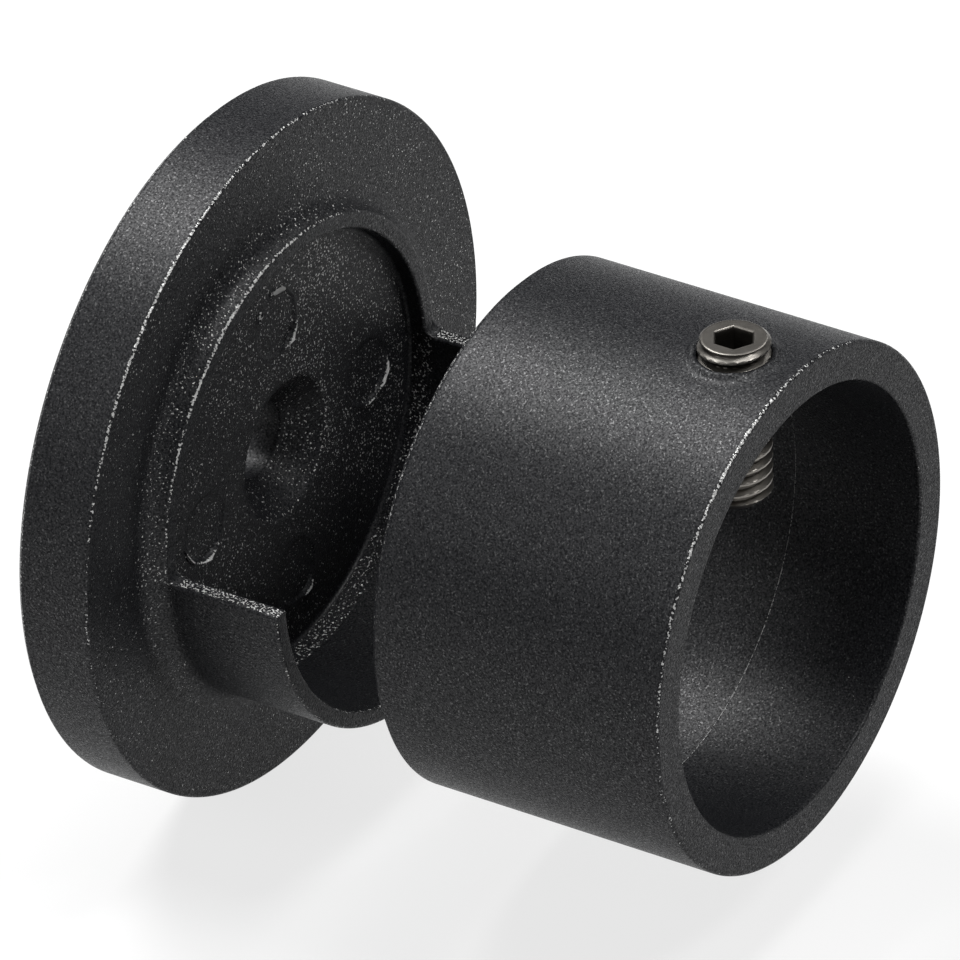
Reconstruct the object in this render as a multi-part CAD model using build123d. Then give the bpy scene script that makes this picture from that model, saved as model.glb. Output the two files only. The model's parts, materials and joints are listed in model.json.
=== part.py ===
from build123d import *
import math
import os

# Bracket that carries the end of a curtain rod between two side walls, in millimetres.
# X is the rod's axis and leaves the wall, Z is up, and the origin is the centre of the plate's back.
# The plate is screwed to the wall and the rod's end is laid into its half cup from above.
# The sleeve runs on the rod, slides over the cup and is locked on the rod by a grub screw.
# Here the sleeve is drawn off the cup, turned a little about the rod.

# Rod that the bracket holds
rod_d = 25.0
rod_play = 0.25  # radial, in the cup and in the sleeve's land

# Wall plate
plate_d = 40.0
plate_t = 4.5
plate_edge_r = 0.4  # round of the front edge
plate_back_bevel = 0.3
wall_hole_d = 4.5
countersink_d = 8.2
countersink_angle = 90.0

# Half cup on the plate: a tube wall whose upper half is cut down to a low collar
cup_wall = 1.0
cup_reach = 8.1
collar_h = 1.1
cup_foot_r = 1.4  # fillet round the outside of the wall's foot
cup_notch_r = 0.6  # fillet where the collar rises into the half cup
cup_edge_bevel = 0.18

# Ejector pin marks on the cup's floor
mark_d = 4.0
mark_depth = 0.08
mark_radius = 8.3
mark_count = 4

# Sleeve: a land that guides the rod, and a thin skirt that passes over the cup
land_len = 8.0
skirt_wall = 1.0
skirt_play = 0.25  # radial, between the cup and the skirt
skirt_spare = 1.9  # length of the skirt beyond the cup's reach
skirt_lead = 0.5  # lead-in chamfer at the skirt's mouth
sleeve_front_bevel = 0.3
sleeve_back_bevel = 0.3
land_edge_bevel = 0.2  # at the bore's front edge
sleeve_gap = 6.8  # from the cup's free end to the drawn-off sleeve
sleeve_turn = -3.5  # degrees about the rod

# Grub screw through the middle of the land
screw_d = 4.0
screw_len = 10.0
screw_proud = 1.0
screw_play = 0.05  # radial, in the tapped hole
screw_top_bevel = 0.35
screw_point_bevel = 0.6
point_cup_d = 2.0
key_flats = 2.0
key_depth = 2.5
drill_angle = 118.0

# Sizes that follow
plate_r = plate_d / 2
cup_inner_r = rod_d / 2 + rod_play
cup_outer_r = cup_inner_r + cup_wall
cup_end_x = plate_t + cup_reach
skirt_inner_r = cup_outer_r + skirt_play
sleeve_r = skirt_inner_r + skirt_wall
sleeve_len = land_len + cup_reach + skirt_spare
sleeve_back_x = cup_end_x + sleeve_gap
sleeve_front_x = sleeve_back_x + sleeve_len
land_back_x = sleeve_front_x - land_len
screw_x = sleeve_front_x - land_len / 2
screw_top_r = sleeve_r + screw_proud


def corner(profile, x, y):
    """Vertex of a profile nearest to the point (x, y)."""
    return profile.vertices().sort_by_distance((x, y, 0))[0]


def cone_depth(d_large, d_small, angle):
    return (d_large - d_small) / 2 / math.tan(math.radians(angle / 2))


def make_wall_plate():
    """One casting: the round plate, the countersunk hole, the low collar and the half cup."""
    sink_x = plate_t - cone_depth(countersink_d, wall_hole_d, countersink_angle)
    with BuildPart() as casting:
        # half section, X along the axis and Y the radius, turned into the plate with a whole cup
        with BuildSketch() as section:
            with BuildLine():
                Polyline(
                    (0, wall_hole_d / 2),
                    (0, plate_r),
                    (plate_t, plate_r),
                    (plate_t, cup_outer_r),
                    (cup_end_x, cup_outer_r),
                    (cup_end_x, cup_inner_r),
                    (plate_t, cup_inner_r),
                    (plate_t, countersink_d / 2),
                    (sink_x, wall_hole_d / 2),
                    close=True,
                )
            make_face()
            fillet(corner(section, plate_t, plate_r), plate_edge_r)
            fillet(corner(section, plate_t, cup_outer_r), cup_foot_r)
            chamfer(corner(section, 0, plate_r), plate_back_bevel)
            chamfer([corner(section, cup_end_x, r) for r in (cup_inner_r, cup_outer_r)], cup_edge_bevel)
        revolve(axis=Axis.X)
        # the upper half of the cup comes away down to the collar
        collar_x = plate_t + collar_h
        with BuildSketch(Plane.XZ) as window:
            with Locations((collar_x, 0)):
                Rectangle(cup_reach, plate_r, align=(Align.MIN, Align.MIN))
            fillet(corner(window, collar_x, 0), cup_notch_r)
        extrude(amount=plate_r, both=True, mode=Mode.SUBTRACT)
        # the cast edges of the collar and the cup are eased
        rims = casting.edges().filter_by(lambda e: lies_on_rim(e, collar_x))
        chamfer(rims, cup_edge_bevel)
        with Locations(Plane.YZ.offset(plate_t)):
            with PolarLocations(mark_radius, mark_count):
                Cylinder(mark_d / 2, 2 * mark_depth, mode=Mode.SUBTRACT)
    return casting.part


def lies_on_rim(edge, collar_x):
    """True for the edges of the wall that the window leaves sharp, along the collar and the half cup."""
    tol = 0.01
    points = [edge @ t for t in (0, 0.5, 1)]
    radii = [math.hypot(p.Y, p.Z) for p in points]
    on_wall = any(all(abs(r - wall) < tol for r in radii) for wall in (cup_inner_r, cup_outer_r))
    above_cup = all(p.Z > -tol and p.X > collar_x - tol for p in points)
    return on_wall and above_cup


def make_sleeve():
    """The ring: a land that fits the rod in front, and a skirt that fits over the cup behind."""
    with BuildPart() as ring:
        with BuildSketch() as section:
            with BuildLine():
                Polyline(
                    (sleeve_back_x, skirt_inner_r),
                    (sleeve_back_x, sleeve_r),
                    (sleeve_front_x, sleeve_r),
                    (sleeve_front_x, cup_inner_r),
                    (land_back_x, cup_inner_r),
                    (land_back_x, skirt_inner_r),
                    close=True,
                )
            make_face()
            chamfer(corner(section, sleeve_front_x, sleeve_r), sleeve_front_bevel)
            chamfer(corner(section, sleeve_front_x, cup_inner_r), land_edge_bevel)
            chamfer(corner(section, sleeve_back_x, sleeve_r), sleeve_back_bevel)
            chamfer(corner(section, sleeve_back_x, skirt_inner_r), skirt_lead)
        revolve(axis=Axis.X)
        with Locations((screw_x, 0, (cup_inner_r + sleeve_r) / 2)):
            Cylinder(screw_d / 2 + screw_play, sleeve_r - cup_inner_r + rod_d / 2, mode=Mode.SUBTRACT)
    return Rot(X=sleeve_turn) * ring.part


def make_grub_screw():
    """Headless screw with a hexagon socket in its top and a cup point."""
    tip_r = screw_top_r - screw_len
    key_corners_d = key_flats / math.cos(math.pi / 6)
    with BuildPart() as screw:
        with Locations((screw_x, 0, tip_r)):
            Cylinder(screw_d / 2, screw_len, align=(Align.CENTER, Align.CENTER, Align.MIN))
        ends = screw.edges().filter_by(GeomType.CIRCLE).sort_by(Axis.Z)
        chamfer(ends[-1], screw_top_bevel)
        chamfer(ends[0], screw_point_bevel)
        # the socket, with the cone its drill leaves
        with BuildSketch(Plane((screw_x, 0, screw_top_r))):
            RegularPolygon(key_corners_d / 2, 6)
        extrude(amount=-key_depth, mode=Mode.SUBTRACT)
        drill_depth = cone_depth(key_flats, 0, drill_angle)
        with Locations((screw_x, 0, screw_top_r - key_depth)):
            Cone(0, key_flats / 2, drill_depth, align=(Align.CENTER, Align.CENTER, Align.MAX), mode=Mode.SUBTRACT)
        # the hollow that bites into the rod
        cup_depth = cone_depth(point_cup_d, 0, drill_angle)
        with Locations((screw_x, 0, tip_r)):
            Cone(point_cup_d / 2, 0, cup_depth, align=(Align.CENTER, Align.CENTER, Align.MIN), mode=Mode.SUBTRACT)
    return Rot(X=sleeve_turn) * screw.part


os.makedirs("parts", exist_ok=True)
export_step(make_wall_plate(), "parts/wall_plate.step")
export_step(make_sleeve(), "parts/sleeve.step")
export_step(make_grub_screw(), "parts/grub_screw.step")
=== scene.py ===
import json
import math

import bmesh
import bpy
import numpy as np
from mathutils import Matrix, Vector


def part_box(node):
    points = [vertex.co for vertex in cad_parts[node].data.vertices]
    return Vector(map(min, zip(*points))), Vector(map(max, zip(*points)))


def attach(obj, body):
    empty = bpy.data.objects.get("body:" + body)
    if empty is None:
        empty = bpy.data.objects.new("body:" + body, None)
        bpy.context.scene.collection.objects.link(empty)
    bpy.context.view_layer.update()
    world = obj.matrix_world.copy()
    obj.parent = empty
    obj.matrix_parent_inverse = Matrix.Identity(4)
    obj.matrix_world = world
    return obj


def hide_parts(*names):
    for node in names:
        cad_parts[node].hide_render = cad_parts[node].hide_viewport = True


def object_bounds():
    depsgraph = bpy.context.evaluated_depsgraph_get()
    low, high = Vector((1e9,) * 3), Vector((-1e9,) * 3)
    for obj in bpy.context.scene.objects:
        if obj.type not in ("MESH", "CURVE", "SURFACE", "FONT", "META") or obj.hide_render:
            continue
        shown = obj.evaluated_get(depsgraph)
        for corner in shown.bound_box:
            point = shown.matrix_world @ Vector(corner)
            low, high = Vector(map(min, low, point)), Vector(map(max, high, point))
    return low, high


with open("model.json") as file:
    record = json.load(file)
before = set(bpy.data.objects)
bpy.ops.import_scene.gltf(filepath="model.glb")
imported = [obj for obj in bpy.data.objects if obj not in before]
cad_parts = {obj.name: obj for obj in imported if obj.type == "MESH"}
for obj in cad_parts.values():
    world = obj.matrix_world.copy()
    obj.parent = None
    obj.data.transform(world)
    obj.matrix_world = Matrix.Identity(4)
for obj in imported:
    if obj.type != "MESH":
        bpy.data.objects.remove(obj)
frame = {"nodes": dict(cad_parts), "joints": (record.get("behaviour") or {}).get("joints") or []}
cadLow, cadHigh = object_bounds()
mm = 0.001
print("frame loaded:", sorted(frame["nodes"]))


# a grid sheet is points[rows, columns, 3] in mm, one value per point of wear and painted light, two wrap flags and a
# mask of kept quads
def gridSheet(points, wearAndPaintedLight, wrapRows=False, wrapColumns=False, keep=None):
    return dict(points=points, wearAndPaintedLight=np.broadcast_to(wearAndPaintedLight, points.shape[:2]), wrapRows=wrapRows,
                wrapColumns=wrapColumns, keep=keep)


# numbers the points of every sheet in turn and joins each point to its neighbours in the row and the column
def sheetQuads(sheets):
    quads, start = [], 0
    for sheet in sheets:
        rows, columns = sheet["points"].shape[:2]
        ids = start + np.arange(rows * columns).reshape(rows, columns)
        start += rows * columns
        if sheet["wrapRows"]:
            ids = np.vstack([ids, ids[:1]])
        if sheet["wrapColumns"]:
            ids = np.hstack([ids, ids[:, :1]])
        made = np.stack([ids[:-1, :-1], ids[1:, :-1], ids[1:, 1:], ids[:-1, 1:]], -1)
        quads.append((made if sheet["keep"] is None else made[sheet["keep"]]).reshape(-1, 4))
    return np.concatenate(quads)


# welds the sheets into one closed skin with outward faces, and keeps the wear, with the painted highlights, glints
# and shade it also carries, as a point attribute
def meshFromSheets(name, sheets, material, sharpAngle=50):
    points = np.concatenate([s["points"].reshape(-1, 3) for s in sheets]) * mm
    wearAndPaintedLight = np.concatenate([s["wearAndPaintedLight"].reshape(-1) for s in sheets])
    mesh = bpy.data.meshes.new(name)
    mesh.from_pydata(points.tolist(), [], sheetQuads(sheets).tolist())
    layer = mesh.attributes.new("wearAndPaintedLight", "FLOAT", "POINT")
    layer.data.foreach_set("value", wearAndPaintedLight.astype(np.float32))
    skin = bmesh.new()
    skin.from_mesh(mesh)
    bmesh.ops.remove_doubles(skin, verts=skin.verts, dist=0.002 * mm)
    bmesh.ops.dissolve_degenerate(skin, edges=skin.edges, dist=0.001 * mm)
    loose = [v for v in skin.verts if not v.link_faces]
    bmesh.ops.delete(skin, geom=loose, context="VERTS")
    bmesh.ops.recalc_face_normals(skin, faces=skin.faces)
    skin.to_mesh(mesh)
    openEdges = sum(1 for e in skin.edges if len(e.link_faces) != 2)
    skin.free()
    mesh.shade_smooth()
    mesh.set_sharp_from_angle(angle=math.radians(sharpAngle))
    mesh.materials.append(material)
    piece = bpy.data.objects.new(name, mesh)
    bpy.context.scene.collection.objects.link(piece)
    print(name, len(mesh.polygons), "faces,", openEdges, "open edges")
    return piece


# points from a to b, closer together near both ends
def easedSteps(a, b, count):
    t = (1 - np.cos(np.linspace(0, np.pi, count))) / 2
    return a + (b - a) * t


# round the rod's axis: phi is 0 at the top and grows towards +Y
def aroundAxis(x, r, phi):
    return np.stack([x + 0 * r * phi, r * np.sin(phi) + 0 * x, r * np.cos(phi) + 0 * x], -1)


# a flat patch round a hole: straight spokes run from the hole's circle to a closed outer loop of points (n, 2)
def spokePatch(loop, centre, radius, shares):
    out = loop - centre
    angle = np.arctan2(out[:, 1], out[:, 0])
    circle = centre + radius * np.stack([np.cos(angle), np.sin(angle)], -1)
    return circle + (loop - circle) * np.asarray(shares)[:, None, None], angle


# smooth pseudo-random waves round a circle, from a few sines with fixed phases
def wavesRound(angle, seed, turns=(1, 2, 3, 5, 8)):
    phases = np.random.default_rng(seed).uniform(0, 2 * np.pi, len(turns))
    return sum(np.sin(n * angle + p) / np.sqrt(n) for n, p in zip(turns, phases)) / np.sqrt(len(turns))


# painted glints: a low wear value that leaves loose bright grains on a face as painted highlights, the most at one
# bearing, towards the light, and the fewest opposite to it
def paintedGlintsAt(phi, most, bearing, swing=0.14):
    return most * (1 - swing + swing * np.cos(phi - math.radians(bearing)))


# how much an edge is bare at each turn: a little real wear everywhere, and a bell round the upper near side that
# paints the edge's highlight where the light catches it
def rubbedAndLitAt(phi, bearing=-32.0, width=48.0, least=0.35):
    away = (phi - math.radians(bearing) + np.pi) % (2 * np.pi) - np.pi
    return least + (1 - least) * np.exp(-(away / math.radians(width)) ** 2)


# an empty shader group with its sockets, and its two end nodes
def newGroup(name, inputs, outputs):
    group = bpy.data.node_groups.new(name, "ShaderNodeTree")
    for label, kind, value in inputs:
        socket = group.interface.new_socket(label, in_out="INPUT", socket_type=kind)
        if value is not None:
            socket.default_value = value
    for label, kind in outputs:
        group.interface.new_socket(label, in_out="OUTPUT", socket_type=kind)
    return group, group.nodes.new("NodeGroupInput"), group.nodes.new("NodeGroupOutput")


def mathNode(tree, operation, a, b=None, c=None, clamp=False):
    node = tree.nodes.new("ShaderNodeMath")
    node.operation, node.use_clamp = operation, clamp
    for socket, value in zip(node.inputs, (a, b, c)):
        if isinstance(value, (int, float)):
            socket.default_value = value
        elif value is not None:
            tree.links.new(value, socket)
    return node.outputs[0]


def noiseNode(tree, vector, scale, detail=2.0, roughness=0.5):
    node = tree.nodes.new("ShaderNodeTexNoise")
    node.inputs["Detail"].default_value, node.inputs["Roughness"].default_value = detail, roughness
    tree.links.new(vector, node.inputs["Vector"])
    if isinstance(scale, (int, float)):
        node.inputs["Scale"].default_value = scale
    else:
        tree.links.new(scale, node.inputs["Scale"])
    return node.outputs["Fac"]


def rampNode(tree, value, low, high):
    node = tree.nodes.new("ShaderNodeMapRange")
    node.interpolation_type = "SMOOTHSTEP"
    node.inputs["From Min"].default_value, node.inputs["From Max"].default_value = low, high
    tree.links.new(value, node.inputs["Value"])
    return node.outputs["Result"]


def mixColour(tree, factor, a, b):
    node = tree.nodes.new("ShaderNodeMix")
    node.data_type = "RGBA"
    tree.links.new(factor, node.inputs["Factor"])
    for socket, value in ((node.inputs[6], a), (node.inputs[7], b)):
        if isinstance(value, tuple):
            socket.default_value = (*value, 1)
        else:
            tree.links.new(value, socket)
    return node.outputs[2]


powder = dict(shift=(0.0137, 0.0071, 0.0193), turn=(0.6, 0.4, 0.9), gritShare=0.35, speckFrom=0.65, speckFull=0.8)


# cured powder: soft waves as on orange peel, a finer grit, and steep specks that catch the light; the noises are
# turned so that no flat face lies along a plane of their lattice, where they fade
def makePowderGrain():
    group, into, out = newGroup(
        "powderGrain",
        [("Vector", "NodeSocketVector", None), ("Peel Scale", "NodeSocketFloat", 7000.0),
         ("Grit Scale", "NodeSocketFloat", 14000.0), ("Speck Scale", "NodeSocketFloat", 9000.0),
         ("Speck Height", "NodeSocketFloat", 0.5)],
        [("Height", "NodeSocketFloat"), ("Speck", "NodeSocketFloat")])
    turned = group.nodes.new("ShaderNodeMapping")
    turned.inputs["Location"].default_value = powder["shift"]
    turned.inputs["Rotation"].default_value = powder["turn"]
    group.links.new(into.outputs["Vector"], turned.inputs["Vector"])
    across = turned.outputs["Vector"]
    peel = noiseNode(group, across, into.outputs["Peel Scale"], 1.5, 0.5)
    grit = noiseNode(group, across, into.outputs["Grit Scale"], 1.0, 0.5)
    height = mathNode(group, "MULTIPLY_ADD", grit, powder["gritShare"], peel)
    speck = noiseNode(group, across, into.outputs["Speck Scale"], 0.0, 0.5)
    speck = rampNode(group, speck, powder["speckFrom"], powder["speckFull"])
    height = mathNode(group, "MULTIPLY_ADD", speck, into.outputs["Speck Height"], height)
    group.links.new(height, out.inputs["Height"])
    group.links.new(speck, out.inputs["Speck"])
    return group


rub = dict(breakShare=1.7, slowScale=130.0, slowShare=0.3, level=-0.5, soft=0.1)


# where an edge or a loose grain is bare, as real wear and as painted highlights and glints: the piece's own wear
# attribute, broken up by two noises
def makeWearAndPaintedGlints():
    group, into, out = newGroup(
        "wearAndPaintedGlints",
        [("Vector", "NodeSocketVector", None), ("Wear", "NodeSocketFloat", 0.0),
         ("Break Scale", "NodeSocketFloat", 900.0), ("Reach", "NodeSocketFloat", 0.5)],
        [("Mask", "NodeSocketFloat")])
    broken = noiseNode(group, into.outputs["Vector"], into.outputs["Break Scale"], 1.5, 0.5)
    slow = noiseNode(group, into.outputs["Vector"], rub["slowScale"], 2.0, 0.5)
    level = mathNode(group, "MULTIPLY_ADD", slow, rub["slowShare"], rub["level"])
    level = mathNode(group, "MULTIPLY_ADD", broken, rub["breakShare"], level)
    reach = mathNode(group, "MULTIPLY", into.outputs["Wear"], into.outputs["Reach"])
    mask = rampNode(group, mathNode(group, "SUBTRACT", reach, level), 0.0, rub["soft"])
    group.links.new(mask, out.inputs["Mask"])
    return group


powderGrain, wearAndPaintedGlints = makePowderGrain(), makeWearAndPaintedGlints()


def newMaterial(name):
    material = bpy.data.materials.new(name)
    material.use_nodes = True
    tree = material.node_tree
    tree.nodes.clear()
    shader = tree.nodes.new("ShaderNodeBsdfPrincipled")
    output = tree.nodes.new("ShaderNodeOutputMaterial")
    tree.links.new(shader.outputs[0], output.inputs[0])
    place = tree.nodes.new("ShaderNodeTexCoord").outputs["Object"]
    return material, tree, shader, place


def placeGroup(tree, group, values, links):
    node = tree.nodes.new("ShaderNodeGroup")
    node.node_tree = group
    for label, value in values.items():
        node.inputs[label].default_value = value
    for label, source in links.items():
        tree.links.new(source, node.inputs[label])
    return node


def wearAndLightAttribute(tree):
    node = tree.nodes.new("ShaderNodeAttribute")
    node.attribute_name = "wearAndPaintedLight"
    return node.outputs["Fac"]


coat = dict(pit=(0.0044, 0.0047, 0.006), crown=(0.0122, 0.0128, 0.0148), bareAndGlint=(0.68, 0.68, 0.67), bareMetal=0.35,
            specular=0.02, pitRoughness=0.38, crownRoughness=0.24, edgeRoughness=0.24, edgeCalm=0.4, bump=0.1 * mm,
            skinLow=0.065, skinHigh=0.26, skinIor=2.2, skinRoughness=0.48, speckSkin=0.32,
            crownFrom=0.48, crownFull=0.86, skinFrom=0.45, skinFull=0.95, peelScale=8200.0, gritScale=15000.0,
            speckScale=8500.0, speckHeight=0.3, wearReach=0.68, wearBreak=7500.0)


# black powder coat: dark and dull in the pits, with a glossy skin that thickens on the crowns and the specks, bare
# metal where the wear mask says (real wear, painted edge highlights and painted glints), and calmer along the edges
def makePowderCoat():
    material, tree, shader, place = newMaterial("blackPowderCoat")
    grain = placeGroup(tree, powderGrain, {"Peel Scale": coat["peelScale"], "Grit Scale": coat["gritScale"],
                                           "Speck Scale": coat["speckScale"], "Speck Height": coat["speckHeight"]},
                       {"Vector": place})
    wearOrLight = wearAndLightAttribute(tree)
    wornOrGlinting = placeGroup(tree, wearAndPaintedGlints, {"Reach": coat["wearReach"], "Break Scale": coat["wearBreak"]},
                      {"Vector": place, "Wear": wearOrLight})
    crown = rampNode(tree, grain.outputs["Height"], coat["crownFrom"], coat["crownFull"])
    high = rampNode(tree, grain.outputs["Height"], coat["skinFrom"], coat["skinFull"])
    skin = mathNode(tree, "MULTIPLY_ADD", high, coat["skinHigh"] - coat["skinLow"], coat["skinLow"])
    skin = mathNode(tree, "MULTIPLY_ADD", grain.outputs["Speck"], coat["speckSkin"], skin)
    tree.links.new(skin, shader.inputs["Coat Weight"])
    shader.inputs["Coat IOR"].default_value = coat["skinIor"]
    shader.inputs["Coat Roughness"].default_value = coat["skinRoughness"]
    colour = mixColour(tree, crown, coat["pit"], coat["crown"])
    # pale where the coat is worn through, and pale as painted highlights and glints where the mask carries them
    colour = mixColour(tree, wornOrGlinting.outputs["Mask"], colour, coat["bareAndGlint"])
    metal = mathNode(tree, "MULTIPLY", wornOrGlinting.outputs["Mask"], coat["bareMetal"])
    gloss = mathNode(tree, "MULTIPLY_ADD", crown, coat["crownRoughness"] - coat["pitRoughness"], coat["pitRoughness"])
    gloss = mathNode(tree, "MULTIPLY_ADD", wearOrLight, mathNode(tree, "SUBTRACT", coat["edgeRoughness"], gloss), gloss)
    calm = mathNode(tree, "MULTIPLY_ADD", wearOrLight, -coat["edgeCalm"], 1.0)
    bump = tree.nodes.new("ShaderNodeBump")
    bump.inputs["Distance"].default_value = coat["bump"]
    tree.links.new(mathNode(tree, "MULTIPLY", grain.outputs["Height"], calm), bump.inputs["Height"])
    tree.links.new(colour, shader.inputs["Base Color"])
    tree.links.new(gloss, shader.inputs["Roughness"])
    tree.links.new(metal, shader.inputs["Metallic"])
    tree.links.new(bump.outputs[0], shader.inputs["Normal"])
    shader.inputs["Specular IOR Level"].default_value = coat["specular"]
    return material


steel = dict(dark=(0.03, 0.026, 0.022), pale=(0.22, 0.208, 0.19), roughness=0.38, bump=0.006 * mm, lineScale=2600.0,
             lineGloss=0.2, stainScale=900.0, stainShare=0.7, rootPaintedShade=0.35)


# turned steel: fine rings along the screw's axis and random stains, with painted shade that darkens the thread's
# roots and the socket's depth where the attribute is low
def makeScrewSteel(axis):
    material, tree, shader, place = newMaterial("turnedSteel")
    along = tree.nodes.new("ShaderNodeVectorMath")
    along.operation = "DOT_PRODUCT"
    along.inputs[1].default_value = axis
    tree.links.new(place, along.inputs[0])
    rings = tree.nodes.new("ShaderNodeTexNoise")
    rings.noise_dimensions = "1D"
    rings.inputs["Scale"].default_value, rings.inputs["Detail"].default_value = steel["lineScale"], 3.0
    tree.links.new(along.outputs["Value"], rings.inputs["W"])
    stain = noiseNode(tree, place, steel["stainScale"], 3.0, 0.6)
    # painted shade: darker where the attribute is low, in the thread's roots and deep in the socket; the stains are
    # real
    cleanAndLit = mathNode(tree, "SUBTRACT", wearAndLightAttribute(tree), steel["rootPaintedShade"])
    cleanAndLit = mathNode(tree, "MULTIPLY_ADD", stain, steel["stainShare"], cleanAndLit, clamp=True)
    tree.links.new(mixColour(tree, cleanAndLit, steel["dark"], steel["pale"]), shader.inputs["Base Color"])
    smooth = steel["roughness"] - steel["lineGloss"] / 2
    gloss = mathNode(tree, "MULTIPLY_ADD", rings.outputs["Fac"], steel["lineGloss"], smooth)
    tree.links.new(gloss, shader.inputs["Roughness"])
    bump = tree.nodes.new("ShaderNodeBump")
    bump.inputs["Distance"].default_value = steel["bump"]
    tree.links.new(rings.outputs["Fac"], bump.inputs["Height"])
    tree.links.new(bump.outputs[0], shader.inputs["Normal"])
    shader.inputs["Metallic"].default_value = 1.0
    return material


powderCoat = makePowderCoat()
plateLow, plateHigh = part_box("wall_plate")
sleeveLow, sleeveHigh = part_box("sleeve")
screwLow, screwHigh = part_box("grub_screw")
screwJoint = next(j for j in frame["joints"] if j["child"] == "grub_screw")
screwAxis = np.array(screwJoint["axis"]) / np.linalg.norm(screwJoint["axis"])
print("materials made")

# wall plate: a section carried round the axis, with a floor of four sectors round the screw hole
# the front, foot, floor, wall and sink values below, with their two bearings, give painted glints on the plate's
# faces; cupShade thins the foot's painted glints towards the cup as painted shade
plate = dict(radius=-plateLow.y / mm, cupEnd=plateHigh.x / mm, thick=4.5, holeRadius=2.25, sinkRadius=4.1,
             backBevel=0.3, frontRound=0.18, collar=1.1, footRound=1.4, notchRound=0.6, edgeRound=0.18,
             innerRadius=12.75, outerRadius=13.75, floorRound=0.25, columns=256, markRing=8.3, markRadius=2.0,
             markDepth=0.08, flashHeight=0.3, flashWidth=0.18, frontPaintedGlints=0.33, footPaintedGlints=0.37, floorPaintedGlints=0.44,
             wallPaintedGlints=0.46, sinkPaintedGlints=0.34, farGlintBearing=40.0, nearGlintBearing=-35.0, cupShade=0.6, sinkEase=0.1,
             sinkWear=0.5, backWear=0.5, cutWear=0.62, endWear=0.5, flashWear=1.5, flashRipple=0.45, flashGap=0.35,
             flash=(((12, 24, 1.4), (135, 32, 1.2), (-47, 14, 1.0)), ((33, 27, 1.4), (95, 38, 0.9)),
                    ((-27, 26, 1.1),), ((-85, 38, 1.3), (-25, 20, 1.0))))


# angles round the plate, with close columns on each side of the cut plane and two columns on it
def plateAngles(p):
    middle = (p["innerRadius"] + p["outerRadius"]) / 2
    near = np.concatenate([easedSteps(0, p["edgeRound"], 6), np.linspace(p["edgeRound"], p["notchRound"], 7)[1:]])
    near = np.arcsin(near / middle)
    quarter = np.linspace(near[-1], np.pi / 2, p["columns"] // 4)[1:]
    rise = np.sort(np.concatenate([near, quarter, [np.pi / 4]]))
    above = np.pi / 2 - rise[::-1]
    below = np.pi / 2 + rise
    half = np.concatenate([above, below])
    isCup = np.concatenate([np.zeros(len(above), bool), np.ones(len(below), bool)])
    other = slice(-2, 0, -1)
    return (np.concatenate([half, 2 * np.pi - half[other]]), np.concatenate([isCup, isCup[other]]))


# how far a round edge of radius e pulls back at depth d below the edge's plane: e minus the circle's height there
def edgePull(d, e):
    return e - np.sqrt(np.clip(e * e - np.clip(e - d, 0, e) ** 2, 0, None))


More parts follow.
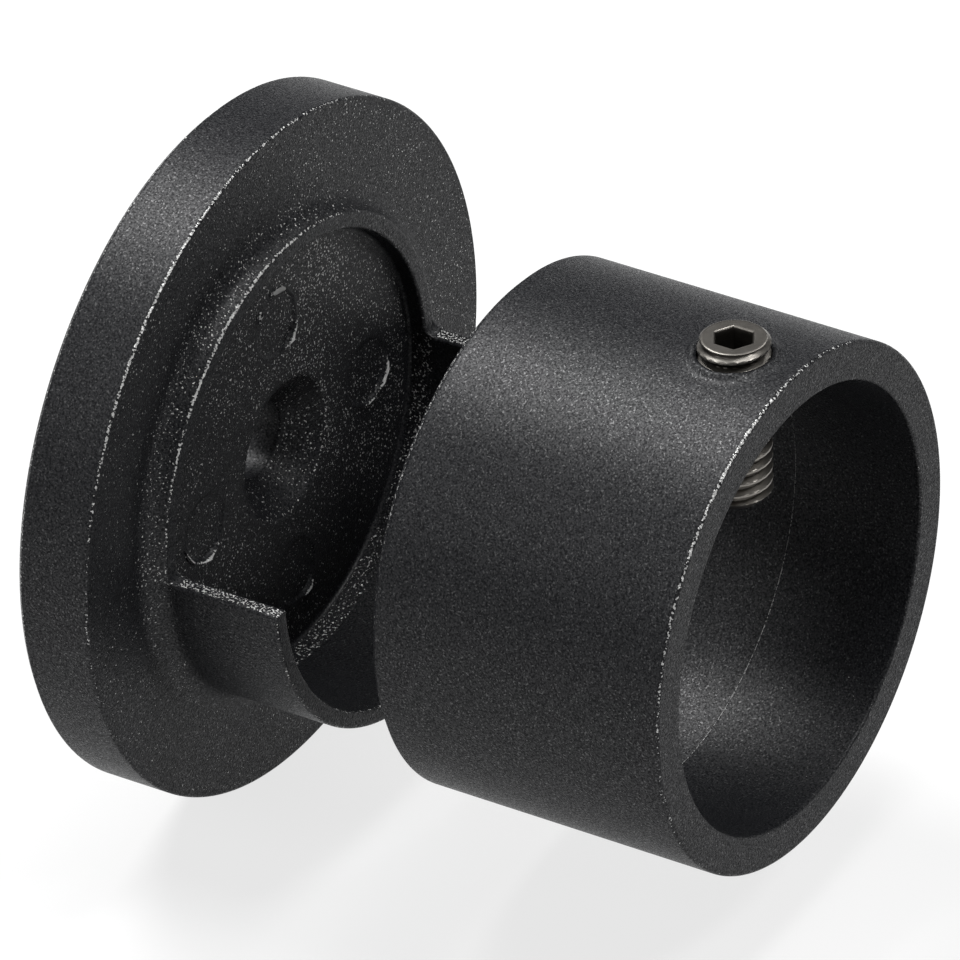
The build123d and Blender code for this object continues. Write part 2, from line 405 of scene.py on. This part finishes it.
# the section: screw hole, back, rim, front, foot, wall, rim of the collar or end of the cup, inside wall and
# the floor's corner
def plateSection(p, phi, isCup):
    n = len(phi)
    depth = np.abs(np.cos(phi)) * (p["innerRadius"] + p["outerRadius"]) / 2
    low = p["thick"] + p["collar"]
    e, top = p["edgeRound"], low + p["notchRound"]
    notch = np.clip(p["notchRound"] - depth, 0, None)
    collarTop = top - np.sqrt(p["notchRound"] ** 2 - notch ** 2)
    shoulder = np.where(isCup, top, collarTop)
    pull = np.where(isCup, edgePull(depth, e), e)
    cutWear = np.where(depth < 0.01, p["cutWear"], 0.0)
    rows = []

    def add(x, r, wearAndPaintedLight=0.0):
        x, r = np.broadcast_arrays(np.asarray(x, float), np.asarray(r, float))
        rows.append((np.broadcast_to(x, (n,)), np.broadcast_to(r, (n,)), np.broadcast_to(wearAndPaintedLight, (n,))))

    def addRun(x0, r0, x1, r1, count, wearAndPaintedLight=0.0):
        for t in easedSteps(0, 1, count):
            add(x0 + (x1 - x0) * t, r0 + (r1 - r0) * t, wearAndPaintedLight)

    def addArc(x, r, e, start, end, count, wearAndPaintedLight):
        for a in np.linspace(start, end, count):
            add(x + e * np.cos(a), r + e * np.sin(a), wearAndPaintedLight * (1 - (2 * (a - start) / (end - start) - 1) ** 2))

    def foot(x):
        return edgePull(x - p["thick"], p["footRound"]) * (x - p["thick"] < p["footRound"])

    sinkDepth = p["sinkRadius"] - p["holeRadius"]
    addRun(p["thick"], p["sinkRadius"] + p["sinkEase"], p["thick"] - 0.07, p["sinkRadius"], 3, p["sinkWear"])
    # the countersink's cone carries painted glints
    addRun(p["thick"] - 0.12, p["sinkRadius"] - 0.05, p["thick"] - sinkDepth, p["holeRadius"], 9,
           p["sinkPaintedGlints"])
    addRun(p["thick"] - sinkDepth - 0.05, p["holeRadius"], 0.15, p["holeRadius"], 5)
    addRun(0, p["holeRadius"] + 0.15, 0, p["radius"] - p["backBevel"], 14)
    addRun(p["backBevel"] * 0.15, p["radius"] - p["backBevel"] * 0.85, p["backBevel"], p["radius"], 4, p["backWear"])
    addRun(p["backBevel"] + 0.1, p["radius"], p["thick"] - p["frontRound"], p["radius"], 10)
    # the front edge's bare line: a little real wear all round and a painted highlight on the upper near side
    addArc(p["thick"] - p["frontRound"], p["radius"] - p["frontRound"], p["frontRound"], np.pi / 2, 0, 8,
           rubbedAndLitAt(phi))
    # painted glints on the plate's front face, the most towards one bearing
    addRun(p["thick"], p["radius"] - p["frontRound"] - 0.05, p["thick"], p["outerRadius"] + p["footRound"], 12,
           paintedGlintsAt(phi, p["frontPaintedGlints"], p["farGlintBearing"]))
    for t in np.linspace(0, 1, 15)[1:]:
        x = p["thick"] + (shoulder - e - p["thick"]) * t * t
        # painted glints on the foot, thinned towards the cup by cupShade as painted shade
        most = p["footPaintedGlints"] * (1 - p["cupShade"] * t * isCup)
        add(x, p["outerRadius"] + foot(x), paintedGlintsAt(phi, most, p["nearGlintBearing"]))
    sides = []
    for side, base in ((1, p["outerRadius"]), (-1, p["innerRadius"])):
        section = []
        for a in np.linspace(0, np.pi / 2, 6):
            x = shoulder - e + e * np.sin(a)
            out = foot(x) if side > 0 else 0
            # the collar's rim edges: a little real wear all round and a painted highlight on the upper near side; the
            # cut face keeps its own wear
            section.append((x, base + out - side * pull * (1 - np.cos(a)),
                            np.where(isCup, cutWear, rubbedAndLitAt(phi) * np.sin(2 * a))))
        edgeR = section[-1][1]
        for t in np.linspace(0, 1, 10)[1:]:
            section.append((np.where(isCup, shoulder + (p["cupEnd"] - e - shoulder) * t, shoulder), edgeR, cutWear))
        for a in np.linspace(0, np.pi / 2, 6)[1:]:
            share = 0.3 * a / (np.pi / 2)
            flat = edgeR - side * share * (p["outerRadius"] - p["innerRadius"] - 2 * e)
            section.append((np.where(isCup, p["cupEnd"] - e + e * np.sin(a), shoulder),
                            np.where(isCup, edgeR - side * e * (1 - np.cos(a)), flat),
                            np.where(isCup, np.maximum(p["endWear"] * np.sin(2 * a), cutWear), cutWear)))
        sides.append(section)
    for x, r, wearAndPaintedLight in sides[0] + sides[1][::-1]:
        add(x, r, wearAndPaintedLight)
    # painted glints on the cup's inside wall
    addRun(shoulder - e - 0.02, p["innerRadius"], p["thick"] + p["floorRound"], p["innerRadius"], 8,
           np.where(isCup, p["wallPaintedGlints"], 0.0))
    addArc(p["thick"] + p["floorRound"], p["innerRadius"] - p["floorRound"], p["floorRound"], np.pi / 2, np.pi, 6,
           0.0)
    return [np.array(part) for part in zip(*rows)]


# a quarter of the floor: spokes from an ejector pin's circle to the sector's outline, a broken flash on the circle,
# and the pin's own face sunk by the mark's depth
def floorSector(p, phi, middle, seed, strength):
    turn = (phi - middle + np.pi) % (2 * np.pi) - np.pi
    inSector = np.sort(turn[np.abs(turn) < np.pi / 4 + 1e-6])
    inSector = inSector[np.concatenate([[True], np.diff(inSector) > 1e-7])]
    innerArc, outerArc = p["sinkRadius"] + p["sinkEase"], p["innerRadius"] - p["floorRound"]
    side = easedSteps(innerArc, outerArc, 24)[1:-1]
    polar = np.concatenate([
        np.stack([np.full(len(inSector), outerArc), inSector], -1),
        np.stack([side[::-1], np.full(len(side), inSector[-1])], -1),
        np.stack([np.full(len(inSector), innerArc), inSector[::-1]], -1),
        np.stack([side, np.full(len(side), inSector[0])], -1)])
    loop = polar[:, :1] * np.stack([np.cos(polar[:, 1]), np.sin(polar[:, 1])], -1)
    centre = np.array([p["markRing"], 0.0])
    ring = p["markRadius"] + p["flashWidth"]
    shares = np.concatenate([[0, 0.02], np.linspace(0, 1, 9)[1:] ** 1.4])
    patch, angle = spokePatch(loop, centre, ring, shares)
    height = np.full(patch.shape[:2], p["thick"])
    ripple = p["flashRipple"] * wavesRound(angle, seed, (5, 9, 14, 23))
    flash = p["flashHeight"] * np.clip(strength(angle) + ripple, 0, 1.2)
    wearAndPaintedLight = np.full(patch.shape[:2], p["floorPaintedGlints"])
    rings, heights, wornOrGlinting = [], [], []
    for share, up in ((0.8, 0.3), (0.55, 1.0), (0.15, 0.9), (-0.25, 0.2)):
        rings.append(p["markRadius"] + share * p["flashWidth"] + 0 * angle)
        heights.append(p["thick"] + flash * up)
        wornOrGlinting.append(p["flashWear"] * np.clip(flash / p["flashHeight"], 0, 1) * (up > 0.25))
    for share in (0.93, 0.8, 0.5, 0.2, 0.0):
        rings.append(p["markRadius"] * share + 0 * angle)
        heights.append(p["thick"] - p["markDepth"] + 0 * angle)
        wornOrGlinting.append(p["floorPaintedGlints"] + 0 * angle)
    spoke = np.stack([np.cos(angle), np.sin(angle)], -1)
    inside = centre + np.array(rings)[:, :, None] * spoke
    flat = np.concatenate([inside[::-1], patch])
    up = np.concatenate([np.array(heights)[::-1], height])
    wearAndPaintedLight = np.concatenate([np.array(wornOrGlinting)[::-1], wearAndPaintedLight])
    radius = np.hypot(flat[..., 0], flat[..., 1])
    around = np.arctan2(flat[..., 1], flat[..., 0]) + middle
    # painted glints on the floor, the most towards one bearing; the flash keeps its own wear
    wearAndPaintedLight = np.where(wearAndPaintedLight > p["floorPaintedGlints"], wearAndPaintedLight, paintedGlintsAt(around, wearAndPaintedLight, p["farGlintBearing"]))
    return gridSheet(aroundAxis(up, radius, around), wearAndPaintedLight, wrapColumns=True)


# how strongly the flash stands at each angle of a mark: the sum of bells, each given by bearing, width and height,
# less a gap that leaves most of the circle without any
def flashAt(gap, bumps):
    def strength(angle):
        total = 0 * angle - gap
        for bearing, width, tall in bumps:
            away = (angle - math.radians(bearing) + np.pi) % (2 * np.pi) - np.pi
            total = total + tall * np.exp(-(away / math.radians(width)) ** 2)
        return total
    return strength


def makeWallPlate():
    phi, isCup = plateAngles(plate)
    x, r, wearAndPaintedLight = plateSection(plate, phi, isCup)
    sheets = [gridSheet(aroundAxis(x, r, phi[None, :]), wearAndPaintedLight, wrapColumns=True)]
    for number, bumps in enumerate(plate["flash"]):
        strength = flashAt(plate["flashGap"], bumps)
        sheets.append(floorSector(plate, phi, number * np.pi / 2, 11 + number, strength))
    piece = meshFromSheets("wallPlateCasting", sheets, powderCoat)
    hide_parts("wall_plate")
    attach(piece, "wall_plate")


makeWallPlate()

# sleeve: a section carried round the axis, with the screw's hole let into its outside and its land
sleeve = dict(back=sleeveLow.x / mm, front=sleeveHigh.x / mm, radius=15.0, landRadius=12.75, skirtRadius=14.0,
              landLength=8.0, frontRound=0.2, landRound=0.15, stepRound=0.12, skirtLead=0.5, backBevel=0.3,
              screwX=(screwLow.x + screwHigh.x) / 2 / mm, holeRadius=2.05, windowHalf=3.4, windowTurn=17.0,
              lipHeight=0.22, lipWidth=0.26, lipRipple=0.5, landLip=-0.02, columns=288, frontWear=1.0, landWear=0.5,
              stepWear=1.1, mouthWear=0.4, backWear=0.6, holeWear=0.35)


# the closed section, from the outside's back to the front, through the land, over the step and back along the skirt
def sleeveSection(p):
    rows = []

    def addRun(x0, r0, x1, r1, count, wearAndPaintedLight=0.0):
        t = easedSteps(0, 1, count)
        rows.append(np.stack([x0 + (x1 - x0) * t, r0 + (r1 - r0) * t, 0 * t + wearAndPaintedLight, 0 * t], -1))

    def addArc(x, r, e, start, end, count, wearAndPaintedLight, allRound=0.0):
        a = np.linspace(start, end, count)
        bell = 1 - np.linspace(-1, 1, count) ** 2
        rows.append(np.stack([x + e * np.cos(a), r + e * np.sin(a), wearAndPaintedLight * bell, allRound * bell], -1))

    windowLow, windowHigh = p["screwX"] - p["windowHalf"], p["screwX"] + p["windowHalf"]
    landBack = p["front"] - p["landLength"]
    addRun(p["back"] + p["backBevel"], p["radius"], windowLow, p["radius"], 14)
    outsideWindow = sum(map(len, rows)) - 1
    addRun(windowLow, p["radius"], windowHigh, p["radius"], 18)
    rows[-1] = rows[-1][1:]
    outsideEnd = sum(map(len, rows)) - 1
    addRun(windowHigh + 0.03, p["radius"], p["front"] - p["frontRound"], p["radius"], 3)
    rows[-1] = rows[-1][1:]
    addArc(p["front"] - p["frontRound"], p["radius"] - p["frontRound"], p["frontRound"], np.pi / 2, 0, 9,
           p["frontWear"])
    addRun(p["front"], p["radius"] - p["frontRound"] - 0.04, p["front"], p["landRadius"] + p["landRound"] + 0.04, 8)
    addArc(p["front"] - p["landRound"], p["landRadius"] + p["landRound"], p["landRound"], 0, -np.pi / 2, 7,
           p["landWear"])
    addRun(p["front"] - p["landRound"] - 0.05, p["landRadius"], windowHigh, p["landRadius"], 3)
    landWindow = sum(map(len, rows)) - 1
    addRun(windowHigh, p["landRadius"], windowLow, p["landRadius"], 18)
    rows[-1] = rows[-1][1:]
    landEnd = sum(map(len, rows)) - 1
    addRun(windowLow - 0.05, p["landRadius"], landBack + p["stepRound"] + 0.03, p["landRadius"], 3)
    rows[-1] = rows[-1][1:]
    addArc(landBack + p["stepRound"], p["landRadius"] + p["stepRound"], p["stepRound"], -np.pi / 2, -np.pi, 6, 0.0,
           p["stepWear"])
    addRun(landBack, p["landRadius"] + p["stepRound"] + 0.04, landBack, p["skirtRadius"], 6)
    addRun(landBack - 0.05, p["skirtRadius"], p["back"] + p["skirtLead"], p["skirtRadius"], 16)
    addRun(p["back"] + p["skirtLead"] * 0.9, p["skirtRadius"] + p["skirtLead"] * 0.1, p["back"] + 0.03,
           p["skirtRadius"] + p["skirtLead"] * 0.94, 4)
    addRun(p["back"], p["skirtRadius"] + p["skirtLead"] + 0.02, p["back"], p["radius"] - p["backBevel"], 4,
           p["mouthWear"])
    addRun(p["back"] + p["backBevel"] * 0.2, p["radius"] - p["backBevel"] * 0.8, p["back"] + p["backBevel"] * 0.9,
           p["radius"] - 0.1 * p["backBevel"], 4, p["backWear"])
    return np.concatenate(rows), (outsideWindow, outsideEnd), (landWindow, landEnd)


# the loop of grid points round a window of the section, seen along the screw: x, and y = r sin(turn)
def windowLoop(x, turns, radius):
    y = radius * np.sin(turns)
    return np.concatenate([
        np.stack([x, np.full(len(x), y[0])], -1)[:-1], np.stack([np.full(len(y), x[-1]), y], -1)[:-1],
        np.stack([x[::-1], np.full(len(x), y[-1])], -1)[:-1], np.stack([np.full(len(y), x[0]), y[::-1]], -1)[:-1]])


def makeSleeve():
    p = sleeve
    screwTurn = math.atan2(screwAxis[1], screwAxis[2])
    section, outside, land = sleeveSection(p)
    half = math.radians(p["windowTurn"])
    inWindow = np.linspace(-half, half, 29)
    beyond = np.linspace(half, 2 * np.pi - half, p["columns"] - len(inWindow))[1:-1]
    turns = np.concatenate([inWindow, beyond])
    # the sleeve's edges: a little real wear all round and a painted highlight on the upper near side, with the step's
    # wear all round
    x, r, rubbedAndLit, allRound = (section[:, k:k + 1] for k in range(4))
    wearAndPaintedLight = rubbedAndLit * rubbedAndLitAt(turns + screwTurn) + allRound
    keep = np.ones((len(section), len(turns)), bool)
    for first, last in (outside, land):
        keep[first:last, :len(inWindow) - 1] = False
    sheets = [gridSheet(aroundAxis(x, r, turns[None, :] + screwTurn), wearAndPaintedLight, True, True, keep)]
    rims = []
    shares = np.concatenate([[0, 0.03, 0.07, 0.12, 0.18, 0.26, 0.36], np.linspace(0.48, 1, 7)])
    windows = ((outside, p["radius"], p["lipHeight"]), (land, p["landRadius"], p["landLip"]))
    for (first, last), radius, lip in windows:
        loop = windowLoop(section[first:last + 1, 0], inWindow, radius)
        patch, angle = spokePatch(loop, np.array([p["screwX"], 0.0]), p["holeRadius"], shares)
        away = np.hypot(patch[..., 0] - p["screwX"], patch[..., 1]) - p["holeRadius"]
        raised = lip * np.exp(-((away - 0.8 * p["lipWidth"]) / p["lipWidth"]) ** 2)
        ripple = 1 + p["lipRipple"] * wavesRound(angle, 5, (2, 3, 7, 13))
        raised = raised * ripple * (shares < 0.9)[:, None]
        turn = np.arcsin(patch[..., 1] / radius)
        points = aroundAxis(patch[..., 0], radius + raised, turn + screwTurn)
        sheets.append(gridSheet(points, p["holeWear"] * (away < 0.05), wrapColumns=True))
        rims.append(points[0])
    if len(rims[0]) != len(rims[1]):
        raise ValueError("the two windows need as many points as each other")
    rims[1] = nearestTurn(rims[0], rims[1])
    wall = rims[0] + (rims[1] - rims[0]) * np.linspace(0, 1, 8)[:, None, None]
    sheets.append(gridSheet(wall, 0.0, wrapColumns=True))
    piece = meshFromSheets("sleeveCasting", sheets, powderCoat)
    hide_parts("sleeve")
    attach(piece, "sleeve")


# turns or reverses the second loop so that its points lie under the first one's
def nearestTurn(first, second):
    best = None
    for way in (second, second[::-1]):
        for shift in range(len(way)):
            moved = np.roll(way, shift, 0)
            gap = np.abs(moved[::8] - first[::8]).sum()
            if best is None or gap < best[0]:
                best = (gap, moved)
    return best[1]


makeSleeve()

# grub screw: rings carried down its axis, with a hexagon inside the top and a helical thread outside
screw = dict(topFromAxis=16.0, length=10.0, radius=2.0, pitch=0.7, threadDepth=0.36, crestHalf=0.09, flank=0.27,
             topRadius=1.8, flats=2.0, mouthEase=0.09, socketDepth=2.5, drillAngle=118.0, pointRadius=1.35,
             pointBevel=0.65, cupRadius=1.0, cupDepth=0.5, columns=120, steps=300)


# radius of a hexagon at angle a: half the width across flats over the cosine of the angle from the nearest flat
def hexRadius(angle, flats):
    return flats / 2 / np.cos((angle + np.pi / 6) % (np.pi / 3) - np.pi / 6)


# metric thread: the phase runs along the axis less the turn; crest and root flats with straight flanks between, and
# a shallower start under the top
def threadRadius(p, height, angle):
    phase = (height / p["pitch"] - angle / (2 * np.pi)) % 1.0
    flank = np.clip((np.abs(phase - 0.5) - p["crestHalf"]) / p["flank"], 0, 1)
    start = np.clip(0.55 - 0.5 * height / p["pitch"], 0, 1)
    return p["radius"] - p["threadDepth"] * flank * start


def makeGrubScrew():
    p = screw
    onRodAxis = np.array([(screwLow.x + screwHigh.x) / 2, 0, 0]) / mm
    length = p["length"]
    angle = np.linspace(0, 2 * np.pi, p["columns"], endpoint=False)
    rows = []

    def add(height, radius, cleanAndLit=1.0):
        parts = np.broadcast_arrays(height + 0 * angle, radius + 0 * angle, cleanAndLit + 0 * angle)
        rows.append(np.stack(parts, -1))

    hexagon = hexRadius(angle + np.pi / 6, p["flats"])
    cone = p["flats"] / 2 / math.tan(math.radians(p["drillAngle"] / 2))
    # the third value of each ring paints shade: low deep in the socket and in the thread's roots, high on the top and
    # the crests
    add(-p["socketDepth"] - cone, 0.0, 0.2)
    add(-p["socketDepth"], p["flats"] / 2, 0.2)
    add(-p["socketDepth"], hexagon, 0.2)
    for t in np.linspace(0.15, 1, 6):
        add(-p["socketDepth"] + (p["socketDepth"] - 0.12) * t, hexagon, 0.3 + 0.3 * t)
    add(-0.05, hexagon + 0.03, 1.0)
    mouth = hexagon + p["mouthEase"]
    add(0.0, mouth, 1.0)
    for t in np.linspace(0.2, 1, 5):
        add(0.0, mouth + (p["topRadius"] - 0.05 - mouth) * t, 0.85)
    add(-0.02, p["topRadius"], 1.0)
    heights = np.linspace(-0.06, -length + 0.02, p["steps"])
    for h in heights:
        fromTop, fromEnd = -h, h + length
        thread = threadRadius(p, h, angle)
        cone45 = p["topRadius"] + np.clip(fromTop - 0.03, 0, None) * 1.1
        pointCone = p["pointRadius"] + fromEnd * (p["radius"] - p["pointRadius"]) / p["pointBevel"]
        radius = np.minimum(np.minimum(thread, cone45), pointCone)
        add(h, radius, np.clip(0.25 + (radius - p["radius"] + p["threadDepth"]) / p["threadDepth"], 0, 1))
    add(-length, p["pointRadius"] - 0.03, 0.9)
    add(-length, p["cupRadius"] + 0.05, 0.8)
    add(-length + 0.03, p["cupRadius"], 0.6)
    add(-length + p["cupDepth"], 0.0, 0.3)
    rings = np.array(rows)
    h, r, cleanAndLit = rings[..., 0], rings[..., 1], rings[..., 2]
    side = np.array([1.0, 0.0, 0.0])
    across = np.cross(screwAxis, side)
    points = (onRodAxis + screwAxis * (p["topFromAxis"] + h)[..., None] + side * (r * np.cos(angle))[..., None]
              + across * (r * np.sin(angle))[..., None])
    sheet = gridSheet(points, cleanAndLit, wrapColumns=True)
    piece = meshFromSheets("grubScrew", [sheet], makeScrewSteel(tuple(screwAxis)), 35)
    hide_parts("grub_screw")
    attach(piece, "grub_screw")


makeGrubScrew()

# floor, lamps and camera; the camera was fitted to the outlines in the photo
studio = dict(floorSize=6.0, floorDrop=0.2 * mm, floorTint=(0.2, 0.2, 0.2), floorGlow=0.76, world=0.1)
lamps = dict(
    keyLight=dict(toward=(-0.46, 0.15, 0.87), distance=0.9, size=0.4, power=7.6),
    topLight=dict(toward=(0.12, 0.08, 0.99), distance=0.9, size=0.25, power=3.2),
    backLight=dict(toward=(0.0, 0.75, 0.66), distance=0.9, size=0.3, power=1.2),
    frontLight=dict(toward=(0.6, 0.1, 0.8), distance=0.9, size=0.18, power=2.2),
    sideLight=dict(toward=(-0.3, -0.75, 0.6), distance=0.9, size=0.5, power=1.5))
camera = dict(azimuth=33.943, elevation=35.322, roll=-3.977, distance=716.2 * mm,
              aim=(13.084 * mm, 6.065 * mm, -3.21 * mm), lens=487.5, sensor=36.0)


# a big flat disc of rings and spokes, white to the camera and to reflections, and still shaded by the object
def makeFloor():
    reach = np.linspace(0, studio["floorSize"] / 2, 24)
    turn = np.linspace(0, 2 * np.pi, 64, endpoint=False)
    height = cadLow.z - studio["floorDrop"] + 0 * reach
    points = np.stack([reach[:, None] * np.cos(turn), reach[:, None] * np.sin(turn), height[:, None] + 0 * turn], -1)
    mesh = bpy.data.meshes.new("studioFloor")
    quads = sheetQuads([gridSheet(points, 0.0, wrapColumns=True)])
    mesh.from_pydata(points.reshape(-1, 3).tolist(), [], quads.tolist())
    material = bpy.data.materials.new("whiteFloor")
    material.use_nodes = True
    tree = material.node_tree
    tree.nodes.clear()
    diffuse = tree.nodes.new("ShaderNodeBsdfDiffuse")
    diffuse.inputs["Color"].default_value = (*studio["floorTint"], 1)
    glow = tree.nodes.new("ShaderNodeEmission")
    glow.inputs["Strength"].default_value = studio["floorGlow"]
    path = tree.nodes.new("ShaderNodeLightPath")
    seen = mathNode(tree, "MAXIMUM", path.outputs["Is Camera Ray"], path.outputs["Is Glossy Ray"])
    seen = mathNode(tree, "MAXIMUM", seen, path.outputs["Is Transmission Ray"])
    black = tree.nodes.new("ShaderNodeEmission")
    black.inputs["Strength"].default_value = 0.0
    lit = tree.nodes.new("ShaderNodeMixShader")
    tree.links.new(seen, lit.inputs[0])
    tree.links.new(black.outputs[0], lit.inputs[1])
    tree.links.new(glow.outputs[0], lit.inputs[2])
    both = tree.nodes.new("ShaderNodeAddShader")
    tree.links.new(diffuse.outputs[0], both.inputs[0])
    tree.links.new(lit.outputs[0], both.inputs[1])
    output = tree.nodes.new("ShaderNodeOutputMaterial")
    tree.links.new(both.outputs[0], output.inputs[0])
    mesh.materials.append(material)
    floor = bpy.data.objects.new("studioFloor", mesh)
    bpy.context.scene.collection.objects.link(floor)


def makeLamp(name, lamp):
    light = bpy.data.lights.new(name, "AREA")
    light.shape, light.size, light.energy = "DISK", lamp["size"], lamp["power"]
    holder = bpy.data.objects.new(name, light)
    toward = np.array(lamp["toward"]) / np.linalg.norm(lamp["toward"])
    aim = np.array(camera["aim"])
    place(holder, aim + toward * lamp["distance"], toward, (0, 1, 0))
    bpy.context.scene.collection.objects.link(holder)


# puts an object at a point with its -Z looking against "back" and its top near "up"
def place(thing, spot, back, up):
    back = np.array(back) / np.linalg.norm(back)
    right = np.cross(up, back)
    right = right / np.linalg.norm(right)
    turned = np.stack([right, np.cross(back, right), back], -1)
    matrix = np.eye(4)
    matrix[:3, :3], matrix[:3, 3] = turned, spot
    thing.matrix_world = Matrix(matrix.tolist())


def makeCamera():
    azimuth, elevation, roll = (math.radians(camera[k]) for k in ("azimuth", "elevation", "roll"))
    back = np.array([math.sin(azimuth) * math.cos(elevation), -math.cos(azimuth) * math.cos(elevation),
                     math.sin(elevation)])
    levelRight = np.array([math.cos(azimuth), math.sin(azimuth), 0.0])
    levelUp = np.cross(back, levelRight)
    up = math.cos(roll) * levelUp - math.sin(roll) * levelRight
    lens = bpy.data.cameras.new("photoCamera")
    lens.lens, lens.sensor_width, lens.clip_start = camera["lens"], camera["sensor"], 0.01
    eye = bpy.data.objects.new("photoCamera", lens)
    place(eye, np.array(camera["aim"]) + back * camera["distance"], back, up)
    bpy.context.scene.collection.objects.link(eye)
    bpy.context.scene.camera = eye


makeFloor()
for lampName, lampValues in lamps.items():
    makeLamp(lampName, lampValues)
makeCamera()
world = bpy.data.worlds.new("studioWorld")
world.use_nodes = True
world.node_tree.nodes["Background"].inputs["Color"].default_value = (1, 1, 1, 1)
world.node_tree.nodes["Background"].inputs["Strength"].default_value = studio["world"]
bpy.context.scene.world = world
bpy.context.scene.view_settings.view_transform = "Standard"
print("studio set")
